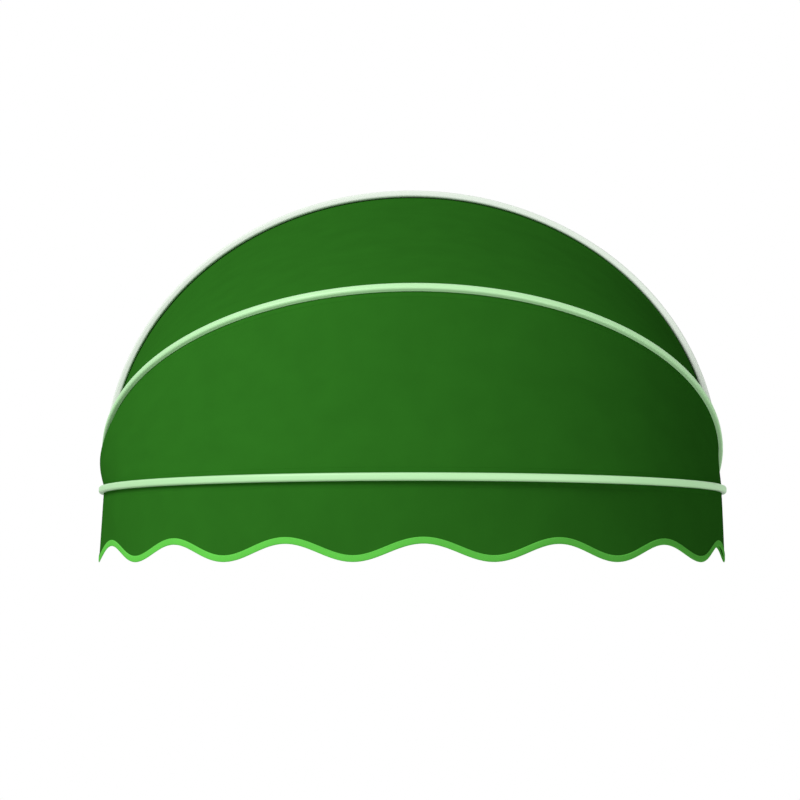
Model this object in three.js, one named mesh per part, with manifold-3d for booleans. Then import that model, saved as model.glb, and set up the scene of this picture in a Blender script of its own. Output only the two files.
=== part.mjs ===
// Half-round folding window awning: three hollow keder bows on one hinge line,
// two canopy panels between them and a scalloped valance under the front bow.
// Millimetres, +X right, +Y into the wall, +Z up. The wall is the plane y = 0 and
// the origin lies on it, midway between the two hinges.

import * as THREE from 'three';
import { mergeVertices } from 'three/addons/utils/BufferGeometryUtils.js';
import Module from 'manifold-3d';

const wasm = await Module();
wasm.setup();

// Clearances
const FIT_GAP = 0.3;
const HINGE_GAP = 0.3;
const GROOVE_GAP = 0.4;

// Hinge line, just clear of the rear bow's foot
const HINGE_CLEAR = 0.7;
const HINGE_BOLT_RADIUS = 4;
const MIDDLE_ANGLE = 31.2;

// Front and middle bow: straight legs and a half ellipse between them
const BOW_HALF_SPAN = 726;
const BOW_RISE = 665;
const BOW_START = 66;

// Rear bow, fixed with its heel to the wall, just outside the moving bows
const REAR_OUTSET = 19.8;
const REAR_LEG = 90;
const REAR_RISE = 661;
const REAR_FOOT = 12;

// Extruded bow profile: u runs across the bow's plane, v runs outwards
const PROFILE_WIDTH = 16;
const PROFILE_DEPTH = 15;
const PROFILE_CROWN_ROUND = 5;
const PROFILE_HEEL_CHAMFER = 1.2;
const LIP_WALL = 1;
const HEEL_WALL = 1;
const WEB_WALL = 4.2;
const CROWN_WALL = 1.2;
const SIDE_WALL = 2.7;
const ARCH_STEPS = 23;
const ROUND_SEGMENTS = 3;

// Keder cords and cloth
const KEDER_RADIUS = 2;
const KEDER_SIDES = 6;
const CLOTH_THICKNESS = 1;
const PANEL_ROWS = 3;

// Valance and its binding tape
const VALANCE_DROP = 164.5;
const SCALLOP_DEPTH = 35.5;
const SCALLOP_PITCH = 277;
const SCALLOP_SHIFT = -122;
const VALANCE_SPLIT = 3;
const BINDING_HEIGHT = 13;
const BINDING_THICKNESS = 0.8;

// Flat end lugs that slide into the bow's chamber
const LUG_EYE_RADIUS = 9;
const LUG_INSERT = 28;
const JOGGLE_LENGTH = 32;
const JOGGLE_INSET = 6;
const RIVET_RADIUS = 2;
const RIVET_HEAD_RADIUS = 3.5;
const RIVET_HEAD_HEIGHT = 1.6;
const RIVET_INSET = 14;

// Hinge hardware
const WASHER_THICKNESS = 0.9;
const WASHER_RADIUS = 8;
const EAR_THICKNESS = 6;
const EAR_RADIUS = 11;
const BOLT_HEAD_RADIUS = 7;
const BOLT_HEAD_HEIGHT = 5;
const NUT_ACROSS_FLATS = 13;
const NUT_HEIGHT = 6.5;
const BOLT_TAIL = 3;

// Wall bracket
const PLATE_THICKNESS = 5;
const PLATE_INNER = 30;
const PLATE_TOP = 40;
const PLATE_BOTTOM = 50;
const PLATE_CORNER = 8;
const EAR_ROOT_TOP = 26;
const EAR_ROOT_BOTTOM = 34;
const FOOT_DEPTH = 32;
const WALL_HOLE_RADIUS = 3.25;
const WALL_HOLE_EDGE = 11;
const SPIGOT_LENGTH = 28;

// Flat clips between the rear bow and the wall
const CLIP_PLACES = { right: 0.24, crown: 0.5, left: 0.76 };
const CLIP_WIDTH = 30;
const CLIP_THICKNESS = 3;
const CLIP_INNER_LEG = 28;
const CLIP_OUTER_LEG = 5;
const CLIP_HOLE_INSET = 10;
const CLIP_SCREW_RADIUS = 1.5;
const CLIP_SCREW_HEAD_RADIUS = 3.2;
const CLIP_SCREW_HEAD_HEIGHT = 1.5;
const CLIP_SCREW_DEPTH = 5;

const radians = THREE.MathUtils.degToRad;
const halfWidth = PROFILE_WIDTH / 2;
const halfDepth = PROFILE_DEPTH / 2;
const rearPlane = CLIP_THICKNESS + FIT_GAP + halfDepth;
const rearHalfSpan = BOW_HALF_SPAN + REAR_OUTSET;
const hingeOut = rearPlane + halfDepth + LUG_EYE_RADIUS + HINGE_CLEAR;

// Groove and chamber of the bow profile, set by the cord, the cloth and the walls
const grooveRadius = KEDER_RADIUS + GROOVE_GAP;
const grooveMouth = CLOTH_THICKNESS + 2 * GROOVE_GAP;
const grooveU = halfWidth - LIP_WALL - grooveRadius;
const grooveV = -halfDepth + HEEL_WALL + grooveRadius;
const chamberWidth = PROFILE_WIDTH - 2 * SIDE_WALL;
const chamberTop = halfDepth - CROWN_WALL;
const chamberBottom = grooveV + grooveRadius + WEB_WALL;
const chamberV = (chamberTop + chamberBottom) / 2;
const lugThickness = chamberTop - chamberBottom - 2 * FIT_GAP;
const lugWidth = chamberWidth - 2 * FIT_GAP;

// Finishes
const finish = (color, roughness, metalness) =>
  new THREE.MeshStandardMaterial({ color, roughness, metalness });
const mintPaint = finish('#b4e6ac', 0.4, 0.1);
const palePaint = finish('#e2eee0', 0.4, 0.1);
const canopyCloth = finish('#2d711e', 0.85, 0);
const bindingTape = finish('#61cb4d', 0.8, 0);
const kederPlastic = finish('#3f8f2f', 0.6, 0);
const steel = finish('#b9bcbd', 0.35, 1);
const nylon = finish('#e9e9e4', 0.6, 0);

const awning = new THREE.Group();

function addPiece(name, geometry, material, parent) {
  const mesh = new THREE.Mesh(geometry, material);
  mesh.name = name;
  parent.add(mesh);
  return mesh;
}

// Closed solids
function weld(geometry) {
  const bare = geometry.clone();
  bare.deleteAttribute('normal');
  bare.deleteAttribute('uv');
  return mergeVertices(bare, 1e-4);
}

function toSolid(geometry) {
  const welded = weld(geometry);
  return new wasm.Manifold(new wasm.Mesh({
    numProp: 3,
    vertProperties: new Float32Array(welded.attributes.position.array),
    triVerts: new Uint32Array(welded.index.array),
  }));
}

function toGeometry(solid) {
  const mesh = solid.getMesh();
  const geometry = new THREE.BufferGeometry();
  geometry.setAttribute('position', new THREE.BufferAttribute(mesh.vertProperties, 3));
  geometry.setIndex(new THREE.BufferAttribute(mesh.triVerts, 1));
  return geometry;
}

function cut(body, tools) {
  return toGeometry(tools.reduce((rest, tool) => rest.subtract(toSolid(tool)), toSolid(body)));
}

function join(bodies) {
  return toGeometry(bodies.map(toSolid).reduce((whole, body) => whole.add(body)));
}

// The left-hand copy of a right-hand piece
function mirrored(geometry) {
  const copy = weld(geometry);
  copy.scale(-1, 1, 1);
  const index = copy.index.array;
  for (let i = 0; i < index.length; i += 3) {
    [index[i + 1], index[i + 2]] = [index[i + 2], index[i + 1]];
  }
  return copy;
}

// A cylinder along X from one x to another, centred on (y, z)
function rodAlongX(radius, x0, x1, y, z, sides = 16) {
  const rod = new THREE.CylinderGeometry(radius, radius, Math.abs(x1 - x0), sides);
  rod.rotateZ(Math.PI / 2);
  return rod.translate((x0 + x1) / 2, y, z);
}

// A box given by its two corners
function block(x0, x1, y0, y1, z0, z1) {
  const box = new THREE.BoxGeometry(x1 - x0, y1 - y0, z1 - z0);
  return box.translate((x0 + x1) / 2, (y0 + y1) / 2, (z0 + z1) / 2);
}

// The bow lines, each in its own plane: out along -Y from the hinge line on two straight
// legs, with a half ellipse between them
const bowLeg = BOW_START + LUG_INSERT + 1;
const movingLine = { halfSpan: BOW_HALF_SPAN, leg: bowLeg, rise: BOW_RISE, start: BOW_START };
const rearLine = {
  halfSpan: rearHalfSpan, leg: REAR_LEG, rise: REAR_RISE, start: REAR_FOOT, rolled: true,
};

// The places where a bow's section stands, from its right end to its left end: the ends,
// the tops of the legs and even steps of the arch
function stations(line) {
  const place = (x, out, outward) => ({ point: new THREE.Vector3(x, -out, 0), outward });
  const list = [place(line.halfSpan, line.start, new THREE.Vector3(1, 0, 0))];
  for (let i = 0; i <= ARCH_STEPS; i += 1) {
    const angle = Math.PI * i / ARCH_STEPS;
    const outward = new THREE.Vector3(line.rise * Math.cos(angle), -line.halfSpan * Math.sin(angle), 0);
    list.push(place(line.halfSpan * Math.cos(angle), line.leg + line.rise * Math.sin(angle),
      outward.normalize()));
  }
  list.push(place(-line.halfSpan, line.start, new THREE.Vector3(-1, 0, 0)));
  return list;
}

// The bow's cross-section: a rounded crown, a keder groove on each flank and a flat chamber
function profileShape() {
  const lip = grooveMouth / 2;
  const opening = Math.asin(lip / grooveRadius);
  const throat = grooveU + grooveRadius * Math.cos(opening);
  const round = PROFILE_CROWN_ROUND;
  const heel = PROFILE_HEEL_CHAMFER;
  const shape = new THREE.Shape();
  shape.moveTo(-halfWidth + heel, -halfDepth);
  shape.lineTo(halfWidth - heel, -halfDepth);
  shape.lineTo(halfWidth, -halfDepth + heel);
  shape.lineTo(halfWidth, grooveV - lip);
  shape.lineTo(throat, grooveV - lip);
  shape.absarc(grooveU, grooveV, grooveRadius, -opening, opening, true);
  shape.lineTo(halfWidth, grooveV + lip);
  shape.lineTo(halfWidth, halfDepth - round);
  shape.quadraticCurveTo(halfWidth, halfDepth, halfWidth - round, halfDepth);
  shape.lineTo(-halfWidth + round, halfDepth);
  shape.quadraticCurveTo(-halfWidth, halfDepth, -halfWidth, halfDepth - round);
  shape.lineTo(-halfWidth, grooveV + lip);
  shape.lineTo(-throat, grooveV + lip);
  shape.absarc(-grooveU, grooveV, grooveRadius, Math.PI - opening, Math.PI + opening, true);
  shape.lineTo(-halfWidth, grooveV - lip);
  shape.lineTo(-halfWidth, -halfDepth + heel);
  shape.closePath();
  shape.holes.push(chamberPath());
  return shape;
}

function chamberPath() {
  const u = chamberWidth / 2;
  const path = new THREE.Path();
  path.moveTo(-u, chamberBottom);
  path.lineTo(-u, chamberTop);
  path.lineTo(u, chamberTop);
  path.lineTo(u, chamberBottom);
  path.closePath();
  return path;
}

// A section swept along a bow line: its x goes to -Z, across the bow's plane, its y outwards.
// On the rear line it is rolled, so that the crown faces away from the wall
function sweep(shape, line) {
  const { shape: outline, holes } = shape.extractPoints(ROUND_SEGMENTS);
  const triangles = THREE.ShapeUtils.triangulateShape(outline, holes);
  const loops = [outline, ...holes];
  const section = loops.flat().map(({ x, y }) => (line.rolled ? { x: y, y: -x } : { x, y }));
  const places = stations(line);
  const positions = places.flatMap(({ point, outward }) => section.flatMap(({ x, y }) =>
    [point.x + outward.x * y, point.y + outward.y * y, point.z - x]));
  const count = section.length;
  const index = [];
  for (let i = 0; i < places.length - 1; i += 1) {
    let first = i * count;
    for (const loop of loops) {
      for (let k = 0; k < loop.length; k += 1) {
        const a = first + k;
        const b = first + (k + 1) % loop.length;
        index.push(a, b, b + count, a, b + count, a + count);
      }
      first += loop.length;
    }
  }
  const last = (places.length - 1) * count;
  triangles.forEach(([a, b, c]) => index.push(c, b, a, last + a, last + b, last + c));
  const geometry = new THREE.BufferGeometry();
  geometry.setAttribute('position', new THREE.Float32BufferAttribute(positions, 3));
  geometry.setIndex(index);
  return geometry;
}

function kederShape(side) {
  const shape = new THREE.Shape();
  for (let i = 0; i < KEDER_SIDES; i += 1) {
    const angle = 2 * Math.PI * i / KEDER_SIDES;
    const x = -side * grooveU + KEDER_RADIUS * Math.cos(angle);
    const y = grooveV + KEDER_RADIUS * Math.sin(angle);
    if (i === 0) shape.moveTo(x, y);
    else shape.lineTo(x, y);
  }
  shape.closePath();
  return shape;
}

// Points in line with a bow's groove at distance u from the section's middle, one for each station
function grooveRail(line, u, matrix) {
  return stations(line).map(({ point, outward }) => {
    const spot = point.addScaledVector(outward, line.rolled ? u : grooveV);
    spot.z = line.rolled ? -grooveV : u;
    return spot.applyMatrix4(matrix);
  });
}

// A closed sheet of even thickness around a grid of points, rows by columns
function sheet(rows, thickness) {
  const rowCount = rows.length;
  const columnCount = rows[0].length;
  const normalAt = (i, j) => {
    const down = rows[Math.min(i + 1, rowCount - 1)][j].clone().sub(rows[Math.max(i - 1, 0)][j]);
    const along = rows[i][Math.min(j + 1, columnCount - 1)].clone().sub(rows[i][Math.max(j - 1, 0)]);
    return along.cross(down).normalize();
  };
  const positions = [];
  for (const sign of [1, -1]) {
    rows.forEach((row, i) => row.forEach((point, j) => {
      const lifted = point.clone().addScaledVector(normalAt(i, j), sign * thickness / 2);
      positions.push(lifted.x, lifted.y, lifted.z);
    }));
  }
  const layer = rowCount * columnCount;
  const vertex = (side, i, j) => side * layer + i * columnCount + j;
  const index = [];
  const quad = (a, b, c, d) => index.push(a, b, c, a, c, d);
  for (let i = 0; i < rowCount - 1; i += 1) {
    for (let j = 0; j < columnCount - 1; j += 1) {
      quad(vertex(0, i, j), vertex(0, i, j + 1), vertex(0, i + 1, j + 1), vertex(0, i + 1, j));
      quad(vertex(1, i, j), vertex(1, i + 1, j), vertex(1, i + 1, j + 1), vertex(1, i, j + 1));
    }
  }
  for (let j = 0; j < columnCount - 1; j += 1) {
    const last = rowCount - 1;
    quad(vertex(0, 0, j), vertex(1, 0, j), vertex(1, 0, j + 1), vertex(0, 0, j + 1));
    quad(vertex(0, last, j), vertex(0, last, j + 1), vertex(1, last, j + 1), vertex(1, last, j));
  }
  for (let i = 0; i < rowCount - 1; i += 1) {
    const last = columnCount - 1;
    quad(vertex(0, i, 0), vertex(0, i + 1, 0), vertex(1, i + 1, 0), vertex(1, i, 0));
    quad(vertex(0, i, last), vertex(1, i, last), vertex(1, i + 1, last), vertex(0, i + 1, last));
  }
  const geometry = new THREE.BufferGeometry();
  geometry.setAttribute('position', new THREE.Float32BufferAttribute(positions, 3));
  geometry.setIndex(index);
  return geometry;
}

// Bows, each in a group that is turned about the hinge line
function bowGroup(out, angle) {
  const group = new THREE.Group();
  group.position.set(0, -out, 0);
  group.rotation.x = -radians(angle);
  group.updateMatrix();
  awning.add(group);
  return group;
}

const rearGroup = bowGroup(rearPlane, 90);
const middleGroup = bowGroup(hingeOut, MIDDLE_ANGLE);
const frontGroup = bowGroup(hingeOut, 0);

// Places in a bow's own plane that its lugs and rivets share
const lugPlane = BOW_HALF_SPAN + chamberV;
const crownFace = BOW_HALF_SPAN + halfDepth;
const rivetOut = BOW_START + RIVET_INSET;
const rivetHole = RIVET_RADIUS + FIT_GAP;

function movingBow() {
  const holes = [1, -1].map((side) =>
    rodAlongX(rivetHole, side * lugPlane, side * (crownFace + RIVET_HEAD_HEIGHT), -rivetOut, 0, 8));
  return cut(sweep(profileShape(), movingLine), holes);
}

// A spot on the rear bow, in the middle of a step of its arch, with axes along the bow,
// outwards and towards the wall
function rearSpot(share) {
  const places = stations(rearLine);
  const step = 1 + Math.floor(share * ARCH_STEPS);
  const start = places[step].point;
  const end = places[step + 1].point;
  const along = end.clone().sub(start).normalize();
  const turn = new THREE.Matrix4().makeBasis(
    along,
    new THREE.Vector3(-along.y, along.x, 0),
    new THREE.Vector3(0, 0, 1),
  );
  return turn.setPosition(start.lerp(end, 0.5));
}

// A rod across a spot, between two distances from the bow's plane towards the wall
function wallwardRod(radius, z0, z1, sides) {
  const rod = new THREE.CylinderGeometry(radius, radius, z1 - z0, sides);
  return rod.rotateX(Math.PI / 2).translate(0, 0, (z0 + z1) / 2);
}

function rearBow() {
  const bores = Object.values(CLIP_PLACES).map((place) =>
    wallwardRod(CLIP_SCREW_RADIUS + FIT_GAP / 2, halfDepth - CLIP_SCREW_DEPTH, rearPlane, 8)
      .applyMatrix4(rearSpot(place)));
  return cut(sweep(profileShape(), rearLine), bores);
}

addPiece('rear_bow', rearBow(), palePaint, rearGroup);
addPiece('middle_bow', movingBow(), mintPaint, middleGroup);
addPiece('front_bow', movingBow(), mintPaint, frontGroup);

addPiece('rear_keder', sweep(kederShape(-1), rearLine), kederPlastic, rearGroup);
addPiece('middle_upper_keder', sweep(kederShape(1), movingLine), kederPlastic, middleGroup);
addPiece('middle_lower_keder', sweep(kederShape(-1), movingLine), kederPlastic, middleGroup);
addPiece('front_upper_keder', sweep(kederShape(1), movingLine), kederPlastic, frontGroup);
addPiece('valance_keder', sweep(kederShape(-1), movingLine), kederPlastic, frontGroup);

// Canopy panels, held by the keders in two neighbouring bows
const clothEdge = grooveU + KEDER_RADIUS + FIT_GAP;
const clothExit = halfWidth + CLOTH_THICKNESS;

function panel(lineA, groupA, sideA, lineB, groupB, sideB) {
  const railsA = [clothEdge, halfWidth, clothExit].map((u) => grooveRail(lineA, sideA * u, groupA.matrix));
  const railsB = [clothExit, halfWidth, clothEdge].map((u) => grooveRail(lineB, sideB * u, groupB.matrix));
  const between = [];
  for (let i = 1; i < PANEL_ROWS; i += 1) {
    between.push(railsA[2].map((point, j) => point.clone().lerp(railsB[0][j], i / PANEL_ROWS)));
  }
  return sheet([...railsA, ...between, ...railsB], CLOTH_THICKNESS);
}

addPiece('upper_panel', panel(rearLine, rearGroup, -1, movingLine, middleGroup, 1), canopyCloth, awning);
addPiece('lower_panel', panel(movingLine, middleGroup, -1, movingLine, frontGroup, 1), canopyCloth, awning);

// Valance: a strip that hangs from the front bow's lower groove to a waved edge
function scallopEdge(distance) {
  const phase = 2 * Math.PI * (distance - SCALLOP_SHIFT) / SCALLOP_PITCH;
  return -VALANCE_DROP + SCALLOP_DEPTH * (0.5 - 0.5 * Math.cos(phase));
}

// The groove line split finer, with each point's distance to the right of the bow's middle
function valanceLine() {
  const coarse = grooveRail(movingLine, 0, frontGroup.matrix);
  const fine = [];
  for (let i = 0; i < coarse.length - 1; i += 1) {
    for (let k = 0; k < VALANCE_SPLIT; k += 1) {
      fine.push(coarse[i].clone().lerp(coarse[i + 1], k / VALANCE_SPLIT));
    }
  }
  fine.push(coarse[coarse.length - 1]);
  const run = [0];
  for (let i = 1; i < fine.length; i += 1) run.push(run[i - 1] + fine[i].distanceTo(fine[i - 1]));
  const middle = run[run.length - 1] / 2;
  return fine.map((point, i) => ({ point, distance: middle - run[i] }));
}

const hangLine = valanceLine();
const atHeight = (height) => hangLine.map(({ point, distance }) =>
  new THREE.Vector3(point.x, point.y, height(distance)));

addPiece('valance', sheet([
  atHeight(() => -clothEdge),
  atHeight(() => -halfWidth),
  atHeight((distance) => (scallopEdge(distance) - halfWidth) / 2),
  atHeight(scallopEdge),
], CLOTH_THICKNESS), canopyCloth, awning);

// Binding tape: one strip folded over the waved edge, a U in section
function bindingTapeSolid() {
  const inner = CLOTH_THICKNESS / 2 + FIT_GAP;
  const outer = inner + BINDING_THICKNESS;
  const section = [
    [inner, BINDING_HEIGHT], [inner, -FIT_GAP], [-inner, -FIT_GAP], [-inner, BINDING_HEIGHT],
    [-outer, BINDING_HEIGHT], [-outer, -FIT_GAP - BINDING_THICKNESS],
    [outer, -FIT_GAP - BINDING_THICKNESS], [outer, BINDING_HEIGHT],
  ];
  const edge = atHeight(scallopEdge);
  const positions = [];
  edge.forEach((point, j) => {
    const along = edge[Math.min(j + 1, edge.length - 1)].clone().sub(edge[Math.max(j - 1, 0)]);
    const outward = new THREE.Vector3(-along.y, along.x, 0).normalize();
    section.forEach(([across, up]) => {
      positions.push(point.x + outward.x * across, point.y + outward.y * across, point.z + up);
    });
  });
  const count = section.length;
  const index = [];
  for (let j = 0; j < edge.length - 1; j += 1) {
    for (let k = 0; k < count; k += 1) {
      const a = j * count + k;
      const b = j * count + (k + 1) % count;
      index.push(a, b, b + count, a, b + count, a + count);
    }
  }
  const flat = THREE.ShapeUtils.triangulateShape(section.map(([x, y]) => new THREE.Vector2(x, y)), []);
  const last = (edge.length - 1) * count;
  flat.forEach(([a, b, c]) => index.push(c, b, a, last + a, last + b, last + c));
  const geometry = new THREE.BufferGeometry();
  geometry.setAttribute('position', new THREE.Float32BufferAttribute(positions, 3));
  geometry.setIndex(index);
  return geometry;
}

addPiece('valance_binding', bindingTapeSolid(), bindingTape, awning);

// Hinge stack along X, from the front bow's lug outside to the middle bow's lug inside
const washerRoom = WASHER_THICKNESS + 2 * HINGE_GAP;
const frontLugInner = lugPlane - lugThickness / 2;
const earOuter = frontLugInner - washerRoom;
const earInner = earOuter - EAR_THICKNESS;
const middleEyeOuter = earInner - washerRoom;
const middleEyePlane = middleEyeOuter - lugThickness / 2;
const boltHole = HINGE_BOLT_RADIUS + HINGE_GAP;

// The flat outline of a lug seen along X: an eye on the hinge line and a bar along -Y
function lugOutline() {
  const half = lugWidth / 2;
  const far = BOW_START + LUG_INSERT;
  const shoulder = Math.asin(half / LUG_EYE_RADIUS);
  const shape = new THREE.Shape();
  shape.absarc(0, 0, LUG_EYE_RADIUS, shoulder, 2 * Math.PI - shoulder, false);
  shape.lineTo(far - half / 2, -half);
  shape.lineTo(far, -half / 2);
  shape.lineTo(far, half / 2);
  shape.lineTo(far - half / 2, half);
  shape.closePath();
  const bolt = new THREE.Path();
  bolt.absarc(0, 0, boltHole, 0, 2 * Math.PI, true);
  const rivet = new THREE.Path();
  rivet.absarc(rivetOut, 0, rivetHole, 0, 2 * Math.PI, true);
  shape.holes.push(bolt, rivet);
  return shape;
}

// An extrusion along X of a shape drawn with its x along -Y and its y along Z
function extrudeAlongX(shape, x0, x1) {
  const geometry = new THREE.ExtrudeGeometry(shape, {
    depth: x1 - x0, bevelEnabled: false, curveSegments: 8,
  });
  const turn = new THREE.Matrix4().makeBasis(
    new THREE.Vector3(0, -1, 0), new THREE.Vector3(0, 0, 1), new THREE.Vector3(-1, 0, 0));
  return geometry.applyMatrix4(turn).translate(x1, 0, 0);
}

function straightLug() {
  return extrudeAlongX(lugOutline(), frontLugInner, frontLugInner + lugThickness);
}

// The middle lug is the same bar, bent inwards so that its eye passes inside the ear
function joggledLug() {
  const half = lugThickness / 2;
  const joggleEnd = BOW_START - JOGGLE_INSET;
  const joggleStart = joggleEnd - JOGGLE_LENGTH;
  const near = -LUG_EYE_RADIUS - FIT_GAP;
  const far = BOW_START + LUG_INSERT + FIT_GAP;
  const bend = new THREE.Shape();
  bend.moveTo(middleEyePlane - half, near);
  bend.lineTo(middleEyePlane + half, near);
  bend.lineTo(middleEyePlane + half, joggleStart);
  bend.lineTo(lugPlane + half, joggleEnd);
  bend.lineTo(lugPlane + half, far);
  bend.lineTo(lugPlane - half, far);
  bend.lineTo(lugPlane - half, joggleEnd);
  bend.lineTo(middleEyePlane - half, joggleStart);
  bend.closePath();
  const strip = new THREE.ExtrudeGeometry(bend, { depth: 2 * LUG_EYE_RADIUS + 2, bevelEnabled: false });
  strip.translate(0, 0, -LUG_EYE_RADIUS - 1);
  strip.applyMatrix4(new THREE.Matrix4().makeRotationX(Math.PI));
  const outline = extrudeAlongX(lugOutline(), middleEyePlane - 2 * half, lugPlane + 2 * half);
  return toGeometry(toSolid(strip).intersect(toSolid(outline)));
}

// A blind rivet through the bow's crown wall and the lug behind it
function lugRivet() {
  const tail = lugPlane - lugThickness / 2;
  const head = crownFace + FIT_GAP;
  const profile = [
    [0, tail], [RIVET_RADIUS, tail], [RIVET_RADIUS, head], [RIVET_HEAD_RADIUS, head],
    [RIVET_HEAD_RADIUS * 0.8, head + RIVET_HEAD_HEIGHT * 0.7], [0, head + RIVET_HEAD_HEIGHT],
  ].map(([radius, x]) => new THREE.Vector2(radius, x));
  const rivet = new THREE.LatheGeometry(profile, 10);
  rivet.rotateZ(-Math.PI / 2);
  return rivet.translate(0, -rivetOut, 0);
}

function washer(inner) {
  const outer = inner + WASHER_THICKNESS;
  const profile = [
    [boltHole, inner], [WASHER_RADIUS, inner], [WASHER_RADIUS, outer], [boltHole, outer], [boltHole, inner],
  ].map(([radius, x]) => new THREE.Vector2(radius, x));
  const ring = new THREE.LatheGeometry(profile, 16);
  ring.rotateZ(-Math.PI / 2);
  return ring.translate(0, -hingeOut, 0);
}

const boltHeadSeat = frontLugInner + lugThickness + HINGE_GAP;
const nutOuter = middleEyePlane - lugThickness / 2 - HINGE_GAP;
const nutInner = nutOuter - NUT_HEIGHT;

// A domed hinge bolt from the outside through lug, ear and lug to its nut
function hingeBolt() {
  const profile = [
    [0, nutInner - BOLT_TAIL], [HINGE_BOLT_RADIUS - 1, nutInner - BOLT_TAIL],
    [HINGE_BOLT_RADIUS, nutInner - BOLT_TAIL + 1], [HINGE_BOLT_RADIUS, boltHeadSeat],
    [BOLT_HEAD_RADIUS, boltHeadSeat], [BOLT_HEAD_RADIUS, boltHeadSeat + BOLT_HEAD_HEIGHT * 0.3],
    [BOLT_HEAD_RADIUS * 0.6, boltHeadSeat + BOLT_HEAD_HEIGHT * 0.85], [0, boltHeadSeat + BOLT_HEAD_HEIGHT],
  ].map(([radius, x]) => new THREE.Vector2(radius, x));
  const bolt = new THREE.LatheGeometry(profile, 16);
  bolt.rotateZ(-Math.PI / 2);
  return bolt.translate(0, -hingeOut, 0);
}

function hingeNut() {
  const shape = new THREE.Shape();
  const corner = NUT_ACROSS_FLATS / Math.sqrt(3);
  for (let i = 0; i < 6; i += 1) {
    const angle = Math.PI * i / 3;
    if (i === 0) shape.moveTo(corner, 0);
    else shape.lineTo(corner * Math.cos(angle), corner * Math.sin(angle));
  }
  shape.closePath();
  const hole = new THREE.Path();
  hole.absarc(0, 0, boltHole, 0, 2 * Math.PI, true);
  shape.holes.push(hole);
  return extrudeAlongX(shape, nutInner, nutOuter).translate(0, -hingeOut, 0);
}

// Cast wall bracket: a plate on the wall, an ear for the hinge bolt and a foot with a
// flat spigot that the rear bow stands on
function wallBracket() {
  const plateInner = earInner - PLATE_INNER;
  const plateOuter = rearHalfSpan - halfWidth - FIT_GAP;
  const corner = PLATE_CORNER;
  const outline = new THREE.Shape();
  outline.moveTo(plateInner + corner, -PLATE_BOTTOM);
  outline.lineTo(plateOuter - corner, -PLATE_BOTTOM);
  outline.quadraticCurveTo(plateOuter, -PLATE_BOTTOM, plateOuter, -PLATE_BOTTOM + corner);
  outline.lineTo(plateOuter, PLATE_TOP - corner);
  outline.quadraticCurveTo(plateOuter, PLATE_TOP, plateOuter - corner, PLATE_TOP);
  outline.lineTo(plateInner + corner, PLATE_TOP);
  outline.quadraticCurveTo(plateInner, PLATE_TOP, plateInner, PLATE_TOP - corner);
  outline.lineTo(plateInner, -PLATE_BOTTOM + corner);
  outline.quadraticCurveTo(plateInner, -PLATE_BOTTOM, plateInner + corner, -PLATE_BOTTOM);
  for (const z of [PLATE_TOP - WALL_HOLE_EDGE, -PLATE_BOTTOM + WALL_HOLE_EDGE]) {
    const hole = new THREE.Path();
    hole.absarc(plateInner + WALL_HOLE_EDGE, z, WALL_HOLE_RADIUS, 0, 2 * Math.PI, true);
    outline.holes.push(hole);
  }
  const plate = new THREE.ExtrudeGeometry(outline, {
    depth: PLATE_THICKNESS, bevelEnabled: false, curveSegments: 5,
  });
  plate.rotateX(Math.PI / 2);

  const ear = new THREE.Shape();
  const top = Math.atan2(hingeOut, EAR_ROOT_TOP);
  const bottom = Math.atan2(hingeOut, EAR_ROOT_BOTTOM);
  ear.moveTo(PLATE_THICKNESS / 2, -EAR_ROOT_BOTTOM);
  ear.absarc(hingeOut, 0, EAR_RADIUS, -Math.PI + bottom, Math.PI - top, false);
  ear.lineTo(PLATE_THICKNESS / 2, EAR_ROOT_TOP);
  ear.closePath();
  const bolt = new THREE.Path();
  bolt.absarc(hingeOut, 0, boltHole, 0, 2 * Math.PI, true);
  ear.holes.push(bolt);
  const earSolid = extrudeAlongX(ear, earInner, earOuter);

  const footTop = REAR_FOOT - FIT_GAP;
  const foot = block(plateOuter - PLATE_THICKNESS, rearHalfSpan + halfWidth, -rearPlane - halfDepth, 0,
    footTop - FOOT_DEPTH, footTop);
  const spigotPlane = -rearPlane - chamberV;
  const spigot = block(rearHalfSpan - lugWidth / 2, rearHalfSpan + lugWidth / 2,
    spigotPlane - lugThickness / 2, spigotPlane + lugThickness / 2, footTop - 1, footTop + SPIGOT_LENGTH);
  return join([plate, earSolid, foot, spigot]);
}

const bracket = wallBracket();
const hinge = {
  bracket: [bracket, mintPaint, awning],
  front_washer: [washer(earOuter + HINGE_GAP), nylon, awning],
  middle_washer: [washer(middleEyeOuter + HINGE_GAP), nylon, awning],
  hinge_bolt: [hingeBolt(), steel, awning],
  hinge_nut: [hingeNut(), steel, awning],
  front_lug: [straightLug(), steel, frontGroup],
  middle_lug: [joggledLug(), steel, middleGroup],
  front_rivet: [lugRivet(), steel, frontGroup],
  middle_rivet: [lugRivet(), steel, middleGroup],
};
for (const [name, [geometry, material, parent]] of Object.entries(hinge)) {
  addPiece(`right_${name}`, geometry, material, parent);
  addPiece(`left_${name}`, mirrored(geometry), material, parent);
}

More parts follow.
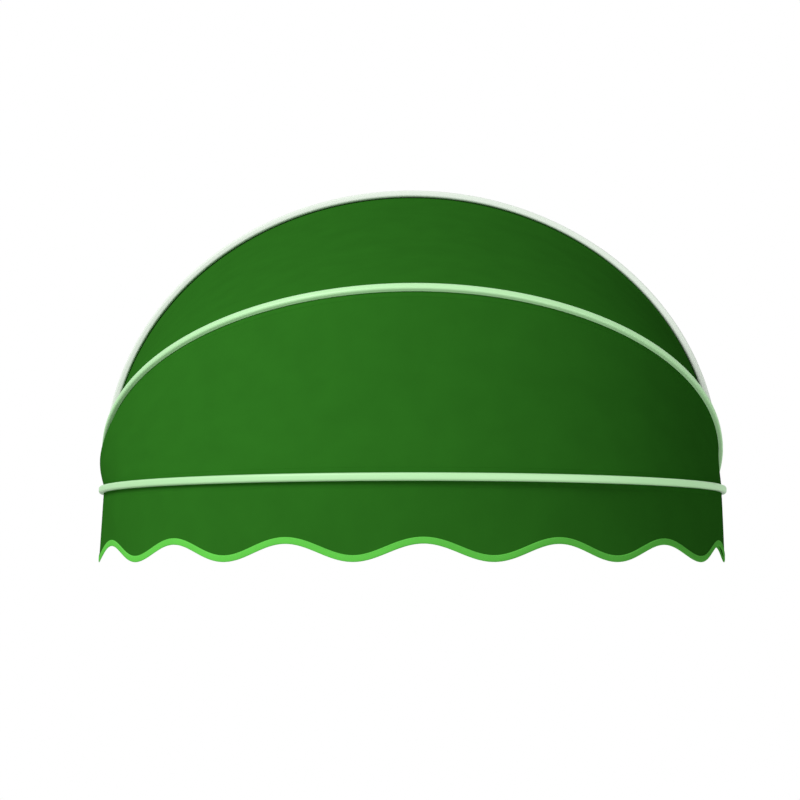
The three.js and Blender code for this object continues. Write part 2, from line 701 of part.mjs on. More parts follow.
// Flat clips under the rear bow's heel, screwed to it from behind and to the wall beside it
function rearClip() {
  const back = rearPlane;
  const front = back - CLIP_THICKNESS;
  const inner = -halfWidth - CLIP_INNER_LEG;
  const strap = block(-CLIP_WIDTH / 2, CLIP_WIDTH / 2, inner, CLIP_OUTER_LEG, front, back);
  const wallHole = wallwardRod(WALL_HOLE_RADIUS, front - 1, back + 1, 12)
    .translate(0, inner + CLIP_HOLE_INSET, 0);
  const screwHole = wallwardRod(CLIP_SCREW_RADIUS + FIT_GAP, front - 1, back + 1, 10);
  const recess = wallwardRod(CLIP_SCREW_HEAD_RADIUS + FIT_GAP,
    back - CLIP_SCREW_HEAD_HEIGHT - 2 * FIT_GAP, back + 1, 12);
  return cut(strap, [wallHole, screwHole, recess]);
}

function clipScrew() {
  const top = rearPlane - FIT_GAP;
  const seat = top - CLIP_SCREW_HEAD_HEIGHT;
  const tip = halfDepth - CLIP_SCREW_DEPTH + FIT_GAP;
  const profile = [
    [0, tip], [CLIP_SCREW_RADIUS, tip + 1], [CLIP_SCREW_RADIUS, seat],
    [CLIP_SCREW_HEAD_RADIUS, seat], [CLIP_SCREW_HEAD_RADIUS, top], [0, top],
  ].map(([radius, z]) => new THREE.Vector2(radius, z));
  return new THREE.LatheGeometry(profile, 10).rotateX(Math.PI / 2);
}

for (const [name, place] of Object.entries(CLIP_PLACES)) {
  const spot = rearSpot(place);
  addPiece(`${name}_clip`, rearClip().applyMatrix4(spot), steel, rearGroup);
  addPiece(`${name}_clip_screw`, clipScrew().applyMatrix4(spot), steel, rearGroup);
}

export default awning;
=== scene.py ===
import math

import bpy
import numpy as np
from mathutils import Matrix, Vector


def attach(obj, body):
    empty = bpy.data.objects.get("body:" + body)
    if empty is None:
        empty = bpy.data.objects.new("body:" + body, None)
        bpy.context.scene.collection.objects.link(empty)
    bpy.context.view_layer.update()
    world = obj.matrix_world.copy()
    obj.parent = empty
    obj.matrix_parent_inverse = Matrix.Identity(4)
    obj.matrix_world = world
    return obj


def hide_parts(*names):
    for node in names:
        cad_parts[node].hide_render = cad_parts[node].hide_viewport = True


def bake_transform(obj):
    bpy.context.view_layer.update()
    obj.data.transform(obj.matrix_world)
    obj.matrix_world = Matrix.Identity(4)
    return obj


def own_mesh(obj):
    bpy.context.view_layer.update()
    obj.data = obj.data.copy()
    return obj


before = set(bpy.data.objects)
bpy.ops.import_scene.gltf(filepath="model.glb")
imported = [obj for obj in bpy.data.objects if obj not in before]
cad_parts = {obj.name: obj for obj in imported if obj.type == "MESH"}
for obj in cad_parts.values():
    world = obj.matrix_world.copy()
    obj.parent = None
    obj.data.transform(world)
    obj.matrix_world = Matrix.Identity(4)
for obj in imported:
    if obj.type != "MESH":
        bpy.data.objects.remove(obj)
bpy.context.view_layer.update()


# Bows: one hollow aluminium extrusion with a keder groove on each flank, bent to an arch with
# straight legs and powder coated. The rear bow stays on the wall, in a paler coat than the two
# that turn on the hinges.
def linear(code):
    parts = [int(code[i:i + 2], 16) / 255 for i in (1, 3, 5)]
    return [p / 12.92 if p <= 0.04045 else ((p + 0.055) / 1.055) ** 2.4 for p in parts] + [1.0]


def add(tree, kind, inputs=(), **settings):
    made = tree.nodes.new(kind)
    for name, value in settings.items():
        setattr(made, name, value)
    for key, value in dict(inputs).items():
        if isinstance(value, bpy.types.NodeSocket):
            tree.links.new(value, made.inputs[key])
        else:
            made.inputs[key].default_value = value
    return made


def new_material(name):
    material = bpy.data.materials.new(name)
    material.use_nodes = True
    material.node_tree.nodes.clear()
    tree = material.node_tree
    shader = add(tree, "ShaderNodeBsdfPrincipled")
    add(tree, "ShaderNodeOutputMaterial", {"Surface": shader.outputs["BSDF"]})
    return material, tree, shader


# Sprayed on as powder and baked: an even colour with a satin sheen and a faint orange peel.
def powder_coat(name, code):
    peel_width = 0.00238
    material, tree, shader = new_material(name)
    place = add(tree, "ShaderNodeTexCoord").outputs["Object"]
    peel = add(tree, "ShaderNodeTexNoise", {"Vector": place, "Scale": 1 / peel_width, "Detail": 2.0})
    bump = add(tree, "ShaderNodeBump", {"Height": peel.outputs["Fac"], "Distance": 0.00004,
                                        "Strength": 0.5})
    tree.links.new(bump.outputs["Normal"], shader.inputs["Normal"])
    shader.inputs["Base Color"].default_value = linear(code)
    shader.inputs["Roughness"].default_value = 0.42
    shader.inputs["Specular IOR Level"].default_value = 0.4
    return material


def group_with(name, sockets):
    tree = bpy.data.node_groups.new(name, "GeometryNodeTree")
    for label, kind in sockets.items():
        tree.interface.new_socket(label, in_out="INPUT", socket_type=kind)
    tree.interface.new_socket("Geometry", in_out="OUTPUT", socket_type="NodeSocketGeometry")
    return tree, add(tree, "NodeGroupInput").outputs


def close_group(tree, geometry, material):
    whole = add(tree, "GeometryNodeRealizeInstances", {"Geometry": geometry})
    painted = add(tree, "GeometryNodeSetMaterial",
                  {"Geometry": whole.outputs["Geometry"], "Material": material})
    add(tree, "NodeGroupOutput", {"Geometry": painted.outputs["Geometry"]})


def grown(obj, tree, values):
    modifier = obj.modifiers.new(tree.name, "NODES")
    modifier.node_group = tree
    for item in tree.interface.items_tree:
        if item.in_out == "INPUT" and item.name in values:
            modifier[item.identifier] = values[item.name]
    return plain(obj)


def plain(obj):
    bpy.context.view_layer.update()
    shape = obj.evaluated_get(bpy.context.evaluated_depsgraph_get())
    mesh = bpy.data.meshes.new_from_object(shape)
    obj.modifiers.clear()
    obj.data = mesh
    mesh.name = obj.name
    return obj


def new_object(name, points, edges=(), faces=()):
    mesh = bpy.data.meshes.new(name)
    mesh.from_pydata([tuple(p) for p in points], edges, faces)
    obj = bpy.data.objects.new(name, mesh)
    bpy.context.scene.collection.objects.link(obj)
    return obj


def smooth(obj, angle=35):
    obj.data.shade_smooth()
    obj.data.set_sharp_from_angle(angle=math.radians(angle))


def bow_sweep():
    tree, given = group_with("bow_sweep", {
        "Half Span": "NodeSocketFloat", "Leg": "NodeSocketFloat", "Rise": "NodeSocketFloat",
        "Start": "NodeSocketFloat", "Plane": "NodeSocketFloat", "Angle": "NodeSocketFloat",
        "Section": "NodeSocketObject", "Material": "NodeSocketMaterial"})
    count = 148
    crown = (count - 1) / 2
    line = add(tree, "GeometryNodeMeshLine", {"Count": count})
    index = add(tree, "GeometryNodeInputIndex").outputs[0]
    turn = add(tree, "ShaderNodeMapRange", {"Value": index, "From Min": 1.0, "From Max": count - 2.0,
                                            "To Max": math.pi}).outputs[0]
    sums = {**dict(given.items()), "index": index, "turn": turn}
    for name, operation, a, b in (
            ("off crown", "SUBTRACT", "index", crown),
            ("from crown", "ABSOLUTE", "off crown", 0.0),
            ("at end", "GREATER_THAN", "from crown", crown - 0.5),
            ("cosine", "COSINE", "turn", 0.0),
            ("along", "MULTIPLY", "Half Span", "cosine"),
            ("sine", "SINE", "turn", 0.0),
            ("lift", "MULTIPLY", "Rise", "sine"),
            ("arch", "ADD", "Leg", "lift"),
            ("shortfall", "SUBTRACT", "Start", "Leg"),
            ("foot", "MULTIPLY", "at end", "shortfall"),
            ("reach", "ADD", "arch", "foot"),
            ("out", "MULTIPLY", "reach", -1.0),
            ("tilt", "MULTIPLY", "Angle", -1.0),
            ("back", "MULTIPLY", "Plane", -1.0)):
        sums[name] = add(tree, "ShaderNodeMath", {0: sums.get(a, a), 1: sums.get(b, b)},
                         operation=operation).outputs[0]
    spot = add(tree, "ShaderNodeCombineXYZ", {0: sums["along"], 1: sums["out"]})
    placed = add(tree, "GeometryNodeSetPosition",
                 {"Geometry": line.outputs[0], "Position": spot.outputs[0]})
    path = add(tree, "GeometryNodeMeshToCurve", {"Mesh": placed.outputs[0]})
    level = add(tree, "GeometryNodeSetCurveNormal", {"Curve": path.outputs[0]}, mode="Z_UP")
    shape = add(tree, "GeometryNodeObjectInfo", {"Object": given["Section"]})
    section = add(tree, "GeometryNodeMeshToCurve", {"Mesh": shape.outputs["Geometry"]})
    swept = add(tree, "GeometryNodeCurveToMesh", {
        "Curve": level.outputs[0], "Profile Curve": section.outputs[0], "Fill Caps": True})
    tilt = add(tree, "ShaderNodeCombineXYZ", {0: sums["tilt"]})
    move = add(tree, "ShaderNodeCombineXYZ", {1: sums["back"]})
    turned = add(tree, "GeometryNodeTransform", {
        "Geometry": swept.outputs[0], "Rotation": tilt.outputs[0], "Translation": move.outputs[0]})
    close_group(tree, turned.outputs[0], given["Material"])
    return tree


def section_loop(name, points, rolled):
    count = len(points)
    edges = [(i, (i + 1) % count) for i in range(count)]
    turned = [(u, v) if rolled else (-v, u) for v, u in points]
    return new_object(name, [(a / 1000, b / 1000, 0) for a, b in turned], edges)


def bow_section():
    def arc(v, u, radius, a0, a1, steps):
        turns = np.radians(np.linspace(a0, a1, steps))
        return [(v + radius * math.sin(a), u + radius * math.cos(a)) for a in turns]

    side, half_depth, heel_round, crown_round = 8.0, 7.5, 1.2, 5.0
    groove_radius, half_mouth, lip = 2.4, 0.9, 0.2
    heel_edge, crown_edge = GROOVE_V - half_mouth, GROOVE_V + half_mouth
    opening = math.degrees(math.asin(half_mouth / groove_radius))
    flank = arc(heel_round - half_depth, side - heel_round, heel_round, -90, 0, 4)
    flank += [(heel_edge - lip, side), (heel_edge, side - lip)]
    flank += arc(GROOVE_V, GROOVE_U, groove_radius, -opening, opening - 360, 14)
    flank += [(crown_edge, side - lip), (crown_edge + lip, side)]
    flank += arc(half_depth - crown_round, side - crown_round, crown_round, 0, 90, 9)
    return flank + [(v, -u) for v, u in reversed(flank)]


GROOVE_V, GROOVE_U = -4.1, 4.6
MOVING = {"Half Span": 0.726, "Leg": 0.095, "Rise": 0.665, "Start": 0.066, "Plane": 0.028}
LINES = {
    "rear": {"Half Span": 0.7458, "Leg": 0.090, "Rise": 0.661, "Start": 0.012, "Plane": 0.0108,
             "Angle": math.radians(90)},
    "middle": {**MOVING, "Angle": math.radians(31.2)},
    "front": {**MOVING, "Angle": 0.0},
}
BODY = {"rear": "frame", "middle": "middle", "front": "front"}
mint_coat = powder_coat("powder coat, mint", "#b0e0a8")
pale_coat = powder_coat("powder coat, pale mint", "#e2ebe0")
bow_nodes = bow_sweep()
for place, line in LINES.items():
    bow_outline = section_loop("bow_outline", bow_section(), place == "rear")
    bow = new_object(f"{place}_bow_arch", [(0, 0, 0)])
    coat = pale_coat if place == "rear" else mint_coat
    grown(bow, bow_nodes, {**line, "Section": bow_outline, "Material": coat})
    smooth(bow)
    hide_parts(f"{place}_bow")
    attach(bow, BODY[place])
    bpy.data.objects.remove(bow_outline)


# Keder cords: round cords of soft extruded plastic, sewn into the cloth's edges and slid along the
# bows' grooves. Only their ends show, even in colour and with a dull sheen.
keder_plastic, tree, shader = new_material("soft plastic, green")
shader.inputs["Base Color"].default_value = linear("#3f8f2f")
shader.inputs["Roughness"].default_value = 0.55
for node, place, side in (("rear_keder", "rear", -1), ("middle_upper_keder", "middle", 1),
                          ("middle_lower_keder", "middle", -1), ("front_upper_keder", "front", 1),
                          ("valance_keder", "front", -1)):
    turns = np.linspace(0, 2 * math.pi, 12, endpoint=False)
    radius = 2.0
    outline = [(GROOVE_V + radius * math.sin(a), -side * GROOVE_U + radius * math.cos(a)) for a in turns]
    ring = section_loop("cord_ring", outline, place == "rear")
    cord = new_object(f"{node}_cord", [(0, 0, 0)])
    grown(cord, bow_nodes, {**LINES[place], "Section": ring, "Material": keder_plastic})
    smooth(cord)
    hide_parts(node)
    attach(cord, BODY[place])
    bpy.data.objects.remove(ring)


# Hinges: cast brackets on the wall, flat steel lugs riveted into the bows' ends, nylon washers,
# and a domed bolt with its nut on each side.
def plain_finish(name, code, roughness, metallic):
    patch_width, patchiness = 0.00625, 0.07
    material, tree, shader = new_material(name)
    place = add(tree, "ShaderNodeTexCoord").outputs["Object"]
    patch = add(tree, "ShaderNodeTexNoise", {"Vector": place, "Scale": 1 / patch_width, "Detail": 3.0})
    spread = add(tree, "ShaderNodeMapRange", {
        "Value": patch.outputs["Fac"], "To Min": roughness - patchiness,
        "To Max": roughness + patchiness})
    tree.links.new(spread.outputs[0], shader.inputs["Roughness"])
    shader.inputs["Base Color"].default_value = linear(code)
    shader.inputs["Metallic"].default_value = metallic
    return material


# Zinc plate is a light grey metal with a soft, slightly patchy gloss. Moulded nylon is milky and dull.
zinc_steel = plain_finish("zinc plated steel", "#b9bcbd", 0.36, 1.0)
nylon = plain_finish("nylon, natural", "#e9e9e4", 0.55, 0.0)
for side in ("left", "right"):
    for part, finish, slot in (
            ("bracket", mint_coat, "mint_powder_coat"),
            ("front_lug", zinc_steel, "zinc_steel"),
            ("middle_lug", zinc_steel, "zinc_steel"),
            ("front_rivet", zinc_steel, "zinc_steel"),
            ("middle_rivet", zinc_steel, "zinc_steel"),
            ("hinge_bolt", zinc_steel, "zinc_steel"),
            ("hinge_nut", zinc_steel, "zinc_steel"),
            ("front_washer", nylon, "nylon"),
            ("middle_washer", nylon, "nylon")):
        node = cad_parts[f"{side}_{part}"]
        node.data.materials.clear()
        node.data.materials.append(finish)


# Rear clips: flat steel straps between the rear bow's heel and the wall, screwed to the bow from
# behind. Each is set out to the true arch.
def arch_point(line, angle):
    return np.array([line["Half Span"] * math.cos(angle), line["Leg"] + line["Rise"] * math.sin(angle)])


arch_steps = 23
for place, step in (("right", 5), ("crown", 11), ("left", 17)):
    corners = [arch_point(LINES["rear"], math.pi * (step + k) / arch_steps) for k in (0, 0.5, 1)]
    shift = corners[1] - (corners[0] + corners[2]) / 2
    for part in ("clip", "clip_screw"):
        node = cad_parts[f"{place}_{part}"]
        copy = bpy.data.objects.new(f"{place}_{part}_set", node.data.copy())
        bpy.context.scene.collection.objects.link(copy)
        points = np.array([v.co for v in copy.data.vertices]) + (shift[0], 0, shift[1])
        copy.data.vertices.foreach_set("co", points.astype(np.float32).ravel())
        copy.data.materials.clear()
        copy.data.materials.append(zinc_steel)
        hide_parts(f"{place}_{part}")
        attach(copy, "frame")


# Canopy panels: woven acrylic cloth stretched between two bows, each edge held by its keder.
# Tension draws the cloth slightly inwards between the bows. The lower panel's left end is slack
# and swells outwards.
def canvas(name, code, yarn):
    mottle_width = 0.0714
    material, tree, shader = new_material(name)
    cloth = add(tree, "ShaderNodeTexCoord").outputs["UV"]
    mottle = add(tree, "ShaderNodeTexNoise", {"Vector": cloth, "Scale": 1 / mottle_width, "Detail": 4.0})
    base = linear(code)
    tone = add(tree, "ShaderNodeMapRange", {"Value": mottle.outputs["Fac"], "From Min": 0.3,
                                            "From Max": 0.7, "To Min": 0.96, "To Max": 1.04})
    colour = add(tree, "ShaderNodeVectorMath", {0: base[:3], "Scale": tone.outputs[0]},
                 operation="SCALE")
    tree.links.new(colour.outputs[0], shader.inputs["Base Color"])
    warp, weft = (add(tree, "ShaderNodeTexWave", {"Vector": cloth, "Scale": math.pi / 10 / yarn},
                      bands_direction=axis).outputs["Fac"] for axis in ("X", "Y"))
    weave = add(tree, "ShaderNodeMath", {0: warp, 1: weft}, operation="MAXIMUM")
    bump = add(tree, "ShaderNodeBump", {"Height": weave.outputs[0], "Distance": 0.00005,
                                        "Strength": 0.35})
    tree.links.new(bump.outputs["Normal"], shader.inputs["Normal"])
    shader.inputs["Roughness"].default_value = 0.9
    shader.inputs["Specular IOR Level"].default_value = 0.0
    return material


def stations(line, steps=160):
    angles = np.linspace(0, math.pi, steps + 1)
    x = line["Half Span"] * np.cos(angles)
    out = line["Leg"] + line["Rise"] * np.sin(angles)
    normal = np.stack([line["Rise"] * np.cos(angles), line["Half Span"] * np.sin(angles)], 1)
    leg = np.linspace(line["Start"], line["Leg"], 5)[:-1]
    straight = len(leg)
    x = np.concatenate([np.full(straight, x[0]), x, np.full(straight, x[-1])])
    out = np.concatenate([leg, out, leg[::-1]])
    normal = np.concatenate([np.tile([[1, 0]], (straight, 1)), normal, np.tile([[-1, 0]], (straight, 1))])
    return x, out, normal / np.linalg.norm(normal, axis=1)[:, None]


def groove_rail(place, reach):
    line = LINES[place]
    x, out, normal = stations(line)
    groove = GROOVE_V / 1000
    inset, height = (reach, -groove) if place == "rear" else (groove, reach)
    x = x + inset * normal[:, 0]
    out = out + inset * normal[:, 1]
    c, s = math.cos(line["Angle"]), math.sin(line["Angle"])
    return np.stack([x, -line["Plane"] - out * c + height * s, out * s + height * c], 1)


def grid_normals(grid):
    across = np.gradient(grid, axis=1)
    down = np.gradient(grid, axis=0)
    normal = np.cross(across, down)
    return normal / np.linalg.norm(normal, axis=2)[:, :, None]


def run_lengths(points):
    return np.concatenate([[0], np.cumsum(np.linalg.norm(np.diff(points, axis=0), axis=1))])


def cloth_piece(name, grid, turns, material, thickness=0.0006):
    rows, columns = grid.shape[:2]
    index = np.arange(rows * columns).reshape(rows, columns)
    quads = np.stack([index[:-1, :-1], index[:-1, 1:], index[1:, 1:], index[1:, :-1]], 2).reshape(-1, 4)
    obj = new_object(name, grid.reshape(-1, 3), (), quads.tolist())
    across = run_lengths(grid[rows // 2])
    down = run_lengths(grid[:, columns // 2])
    flat = np.stack(np.meshgrid(across, down), 2).reshape(-1, 2)
    corners = np.zeros(len(obj.data.loops), np.int32)
    obj.data.loops.foreach_get("vertex_index", corners)
    obj.data.uv_layers.new(name="cut").data.foreach_set("uv", flat[corners].astype(np.float32).ravel())
    obj.data.attributes.new("turn", "FLOAT", "POINT").data.foreach_set(
        "value", np.repeat(turns, columns).astype(np.float32))
    obj.data.materials.append(material)
    solid = obj.modifiers.new("thickness", "SOLIDIFY")
    solid.thickness = thickness
    solid.offset = 0
    plain(obj)
    smooth(obj, 60)
    return obj


def bend(obj):
    turns = np.zeros(len(obj.data.vertices), np.float32)
    obj.data.attributes["turn"].data.foreach_get("value", turns)
    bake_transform(obj)
    obj.data.attributes.remove(obj.data.attributes["turn"])


def panel_grid(upper, lower, sag, swell):
    clear, held = 0.009, (IN_GROOVE, AT_FLANK)
    exits = groove_rail(upper, -clear), groove_rail(lower, clear)
    shares = np.linspace(0, 1, 37)
    grid = np.array([exits[0] * (1 - t) + exits[1] * t for t in shares])
    width = np.linalg.norm(exits[0] - exits[1], axis=1)
    hollow = 4 * shares * (1 - shares)
    from_left = run_lengths(exits[1][::-1])[::-1]
    end = np.minimum(run_lengths(exits[1]), from_left)
    ripple_height, ripple_reach = 0.0007, 0.11
    ripple = np.exp(-end / ripple_reach)[None, :] * np.sin(7 * shares[:, None] + 9 * end[None, :])
    depth = -sag * hollow[:, None] * (width / width.max())[None, :]
    depth += ripple_height * ripple * hollow[:, None]
    slack_middle, slack_reach = 0.23, 0.19
    slack = np.exp(-((from_left - slack_middle) / slack_reach) ** 2)
    depth += swell * np.sin(math.pi * shares ** 0.8)[:, None] * slack[None, :]
    grid = grid + grid_normals(grid) * depth[:, :, None]
    edges = (np.array([groove_rail(upper, -h) for h in held]),
             np.array([groove_rail(lower, h) for h in reversed(held)]))
    return np.concatenate([edges[0], grid, edges[1]]), np.concatenate([[0, 0], shares, [1, 1]])


IN_GROOVE, AT_FLANK = 0.0069, 0.008
# Woven from dyed acrylic yarn: dead matt and faintly mottled, with a weave that only a close view shows.
canopy_cloth = canvas("acrylic canvas, green", "#2b6b1d", 0.0006)
SAG = 0.005
PANELS = {
    "upper_panel": ("rear", "middle", (0.0, 1.0), 0.0),
    "lower_panel": ("middle", "front", (0.78, 1.0), 0.017),
}
panel_shapes = {}
for node, (upper, lower, ends, swell) in PANELS.items():
    grid, shares = panel_grid(upper, lower, SAG, swell)
    turns = ends[0] + (ends[1] - ends[0]) * shares
    panel_shapes[node] = grid, turns
    cloth = cloth_piece(f"{node}_cloth", grid, turns, canopy_cloth)
    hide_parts(node)
    bend(cloth)


# Valance: a strip of the same cloth that hangs from the front bow's lower groove, cut to a wave
# along its foot. It hangs free, so it sways a little along its length and flares at its ends.
def edge_height(distance):
    drop, wave, pitch, shift = 0.1645, 0.0355, 0.277, 0.122
    return -drop + wave * (0.5 - 0.5 * np.cos(2 * math.pi * (distance + shift) / pitch))


def valance_point(line, normals, distance, height):
    left_flare, right_flare, flare_reach = 0.006, 0.005, 0.35
    half_length, fall = 1.1, 0.157
    sway = 0.0022 * np.sin(distance * 11.0) + 0.0014 * np.sin(distance * 27.0 + 1.3)
    nearness = np.exp(-((half_length - np.abs(distance)) / flare_reach) ** 2)
    flare = np.where(distance < 0, left_flare, right_flare) * nearness
    share = np.clip((-height - AT_FLANK) / fall, 0, 1)
    push = sway * share ** 1.5 + flare * share ** 0.8
    return np.stack([line[:, 0] + normals[:, 0] * push, line[:, 1] + normals[:, 1] * push, height], 1)


def hang_on_front(obj):
    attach(obj, "front")
    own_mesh(obj)


COLUMNS = 721
coarse = groove_rail("front", 0.0)
run = run_lengths(coarse)
even = np.linspace(0, run[-1], COLUMNS)
hang = np.stack([np.interp(even, run, coarse[:, k]) for k in range(3)], 1)
distance = run[-1] / 2 - even
ahead = np.gradient(hang, axis=0)
outward = np.stack([-ahead[:, 1], ahead[:, 0]], 1)
outward = outward / np.linalg.norm(outward, axis=1)[:, None]
foot = edge_height(distance)
heights = [np.full(COLUMNS, -IN_GROOVE), np.full(COLUMNS, -AT_FLANK)]
heights += [-AT_FLANK + (foot + AT_FLANK) * t for t in np.linspace(0, 1, 25)[1:]]
valance_grid = np.array([valance_point(hang, outward, distance, h) for h in heights])
valance = cloth_piece("valance_cloth", valance_grid, np.ones(len(valance_grid)), canopy_cloth)
valance.data.attributes.remove(valance.data.attributes["turn"])
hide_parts("valance")
hang_on_front(valance)


# Binding: a bright woven tape folded over the wave, the same width all along it, and sewn through.
# It is swept along the valance's foot.
def tape_sweep():
    tree, given = group_with("tape_sweep", {
        "Edge": "NodeSocketGeometry", "Section": "NodeSocketObject", "Material": "NodeSocketMaterial"})
    measure = add(tree, "GeometryNodeSplineParameter").outputs["Length"]
    path = add(tree, "GeometryNodeMeshToCurve", {"Mesh": given["Edge"]})
    level = add(tree, "GeometryNodeSetCurveNormal", {"Curve": path.outputs[0]}, mode="Z_UP")
    shape = add(tree, "GeometryNodeObjectInfo", {"Object": given["Section"]})
    section = add(tree, "GeometryNodeMeshToCurve", {"Mesh": shape.outputs["Geometry"]})
    marked, marks = [], []
    for name, curve in (("along", level), ("round", section)):
        stored = add(tree, "GeometryNodeStoreNamedAttribute",
                     {"Geometry": curve.outputs[0], "Name": name, "Value": measure},
                     data_type="FLOAT", domain="POINT")
        marked.append(stored.outputs[0])
        found = add(tree, "GeometryNodeInputNamedAttribute", {"Name": name}, data_type="FLOAT")
        marks.append(found.outputs[0])
    swept = add(tree, "GeometryNodeCurveToMesh", {
        "Curve": marked[0], "Profile Curve": marked[1], "Fill Caps": True})
    cut = add(tree, "ShaderNodeCombineXYZ", {0: marks[0], 1: marks[1]})
    laid = add(tree, "GeometryNodeStoreNamedAttribute",
               {"Geometry": swept.outputs[0], "Name": "cut", "Value": cut.outputs[0]},
               data_type="FLOAT2", domain="CORNER")
    close_group(tree, laid.outputs[0], given["Material"])
    return tree


# Woven from coarser, brighter yarn: matt like the cloth, with a weave that only a close view shows.
binding_tape = canvas("woven tape, light green", "#66ce4f", 0.0008)
edge = valance_grid[-1]
fold = [(0.55, 12.4), (0.95, 12.1), (1.2, 10.6), (1.3, 6.0), (1.25, 2.0), (1.0, 0.4), (0.6, -0.7),
        (0.0, -1.1)]
inside = [(0.4, 12.3), (0.4, 0.1)]
loop = fold + [(-a, b) for a, b in reversed(fold[:-1])] + [(-a, b) for a, b in inside] + inside[::-1]
tape_outline = section_loop("tape_outline", [(-b, -a) for a, b in loop], True)
tape = new_object("valance_tape", edge, [(i, i + 1) for i in range(len(edge) - 1)])
grown(tape, tape_sweep(), {"Section": tape_outline, "Material": binding_tape})
bpy.data.objects.remove(tape_outline)
smooth(tape, 50)
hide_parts("valance_binding")
hang_on_front(tape)


# Seams: lockstitches beside each keder and along the tape, in polyester thread that matches the
# cloth. They are set out along the cloth's rows; those on the valance and its tape hang from the front
# bow with it.
def stitch_run():
    tree, given = group_with("stitch_run", {
        "Seam": "NodeSocketGeometry", "Pitch": "NodeSocketFloat", "Stitch": "NodeSocketFloat",
        "Thread": "NodeSocketFloat", "Material": "NodeSocketMaterial"})
    seam = add(tree, "GeometryNodeMeshToCurve", {"Mesh": given["Seam"]})
    spots = add(tree, "GeometryNodeResampleCurve",
                {"Curve": seam.outputs[0], "Length": given["Pitch"]}, mode="LENGTH")
    ahead = add(tree, "GeometryNodeInputTangent")
    turn = add(tree, "FunctionNodeAlignRotationToVector", {"Vector": ahead.outputs[0]}, axis="Z")
    thread = add(tree, "GeometryNodeMeshUVSphere", {"Segments": 6, "Rings": 4, "Radius": 1.0})
    half = add(tree, "ShaderNodeMath", {0: given["Stitch"], 1: 0.5}, operation="MULTIPLY")
    size = add(tree, "ShaderNodeCombineXYZ",
               {0: given["Thread"], 1: given["Thread"], 2: half.outputs[0]})
    sewn = add(tree, "GeometryNodeInstanceOnPoints", {
        "Points": spots.outputs[0], "Instance": thread.outputs["Mesh"], "Rotation": turn.outputs[0],
        "Scale": size.outputs[0]})
    close_group(tree, sewn.outputs[0], given["Material"])
    return tree


def seam_object(name, chains, turns, sewing):
    points = np.concatenate(chains)
    edges, first = [], 0
    for chain in chains:
        edges += [(first + i, first + i + 1) for i in range(len(chain) - 1)]
        first += len(chain)
    obj = new_object(name, points, edges)
    obj.data.attributes.new("turn", "FLOAT", "POINT").data.foreach_set(
        "value", np.concatenate(turns).astype(np.float32))
    grown(obj, stitch_nodes, {"Pitch": 0.0042, "Stitch": 0.0034, "Thread": 0.00028,
                              "Material": sewing})
    smooth(obj, 60)
    return obj


def thread_finish(name, code):
    material, tree, shader = new_material(name)
    shader.inputs["Base Color"].default_value = linear(code)
    shader.inputs["Roughness"].default_value = 0.9
    shader.inputs["Specular IOR Level"].default_value = 0.0
    return material


ON_CLOTH, ON_TAPE, TAPE_SEAM = 0.00045, 0.0012, 0.0104
stitch_nodes = stitch_run()
# Spun polyester: matt, without highlights, and a shade lighter than what it is sewn into.
cloth_thread = thread_finish("polyester thread, green", "#2f7a20")
tape_thread = thread_finish("polyester thread, light green", "#86de74")
for node, (upper, lower, ends, swell) in PANELS.items():
    grid, turns = panel_shapes[node]
    lift = grid + grid_normals(grid) * ON_CLOTH
    rows = [3, len(grid) - 4]
    chains = [lift[i, 2:-2] for i in rows]
    share = [np.full(len(chain), turns[i]) for chain, i in zip(chains, rows)]
    seam = seam_object(f"{node}_seams", chains, share, cloth_thread)
    bend(seam)

across = np.concatenate([outward, np.zeros((COLUMNS, 1))], 1)
ahead = np.gradient(edge, axis=0)
rise = np.cross(ahead, across)
tape_line = edge + rise / np.linalg.norm(rise, axis=1)[:, None] * TAPE_SEAM
tape_lift = across * ON_TAPE
seams = {"valance_seam": ([valance_grid[3] + across * ON_CLOTH], cloth_thread, "canopy_cloth"),
         "tape_seams": ([tape_line + tape_lift, tape_line - tape_lift], tape_thread, "binding_tape")}
for name, (chains, sewing, slot) in seams.items():
    chains = [chain[2:-2] for chain in chains]
    seam = seam_object(name, chains, [np.ones(len(chain)) for chain in chains], sewing)
    seam.data.attributes.remove(seam.data.attributes["turn"])
    hang_on_front(seam)


# Studio: a pale matt floor well below the awning, a white surround, one large soft light from the
# upper left, a weak fill from the right, a second fill for the bows alone, and the camera at the
# photo's place.
floor_corners = [(-4, -4, -1.2), (4, -4, -1.2), (4, 1.5, -1.2), (-4, 1.5, -1.2)]
floor = new_object("studio_floor", floor_corners, (), [(0, 1, 2, 3)])
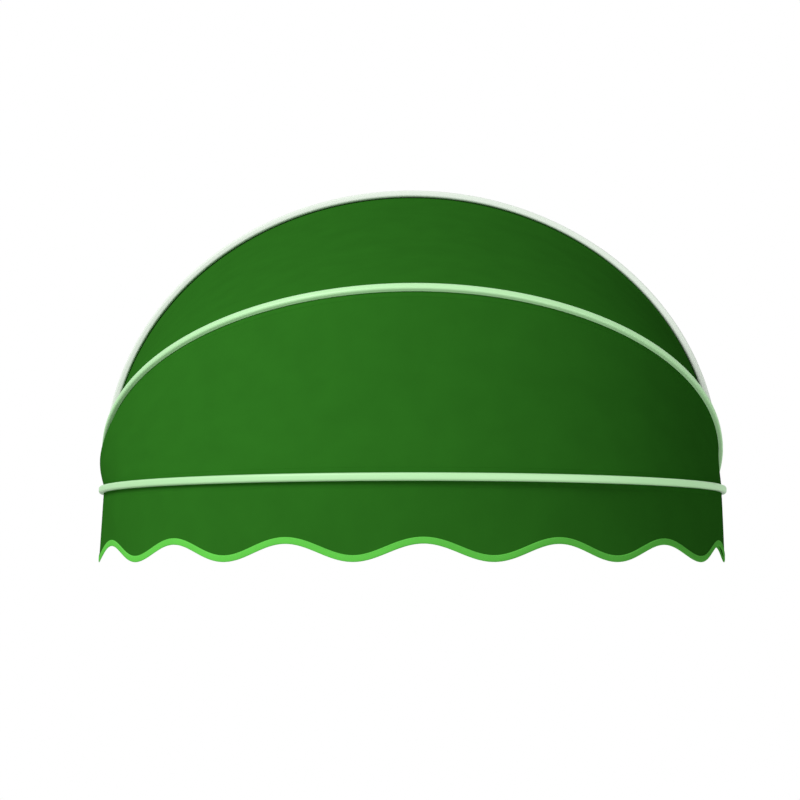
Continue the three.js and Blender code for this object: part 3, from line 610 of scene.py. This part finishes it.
# Uncoated paper: almost white and without sheen, so that it shows only the shadow.
pale, tree, shader = new_material("matt paper, white")
shader.inputs["Base Color"].default_value = linear("#f2f2f0")
shader.inputs["Roughness"].default_value = 0.9
floor.data.materials.append(pale)

world = bpy.data.worlds.new("white surround")
bpy.context.scene.world = world
world.use_nodes = True
world.node_tree.nodes.clear()
rays = add(world.node_tree, "ShaderNodeLightPath").outputs
seen = rays["Is Camera Ray"]
for ray in ("Is Glossy Ray", "Is Transmission Ray"):
    seen = add(world.node_tree, "ShaderNodeMath", {0: seen, 1: rays[ray]}, operation="MAXIMUM").outputs[0]
soft = add(world.node_tree, "ShaderNodeBackground", {"Color": (1, 1, 1, 1), "Strength": 0.26})
white = add(world.node_tree, "ShaderNodeBackground", {"Color": (1, 1, 1, 1), "Strength": 1.0})
both = add(world.node_tree, "ShaderNodeMixShader",
           {0: seen, 1: soft.outputs[0], 2: white.outputs[0]})
add(world.node_tree, "ShaderNodeOutputWorld", {"Surface": both.outputs[0]})

bows = bpy.data.collections.new("bows")
for place in LINES:
    bows.objects.link(bpy.data.objects[f"{place}_bow_arch"])
for name, spot, aim, size, power in (("key", (-2.7, -3.6, 3.0), (0, -0.4, 0.25), 2.2, 205.0),
                                     ("fill", (2.6, -3.6, 1.6), (0, -0.4, 0.2), 2.5, 6.0),
                                     ("bow_fill", (2.4, -3.2, -0.4), (0.2, -0.4, 0.3), 2.5, 62.0)):
    lamp = bpy.data.lights.new(name, "AREA")
    lamp.size = size
    lamp.energy = power
    light = bpy.data.objects.new(name, lamp)
    light.location = spot
    towards = Vector(aim) - Vector(spot)
    light.rotation_euler = towards.to_track_quat("-Z", "Y").to_euler()
    if name == "bow_fill":
        light.light_linking.receiver_collection = bows
    bpy.context.scene.collection.objects.link(light)

camera = bpy.data.objects.new("photo_camera", bpy.data.cameras.new("photo_camera"))
camera.data.sensor_width = 36
camera.data.lens = 69.5
camera.location = (-0.02914, -3.79639, -0.17016)
camera.rotation_euler = (math.radians(96.076), 0, 0)
bpy.context.scene.collection.objects.link(camera)
bpy.context.scene.camera = camera
bpy.context.scene.view_settings.view_transform = "Standard"
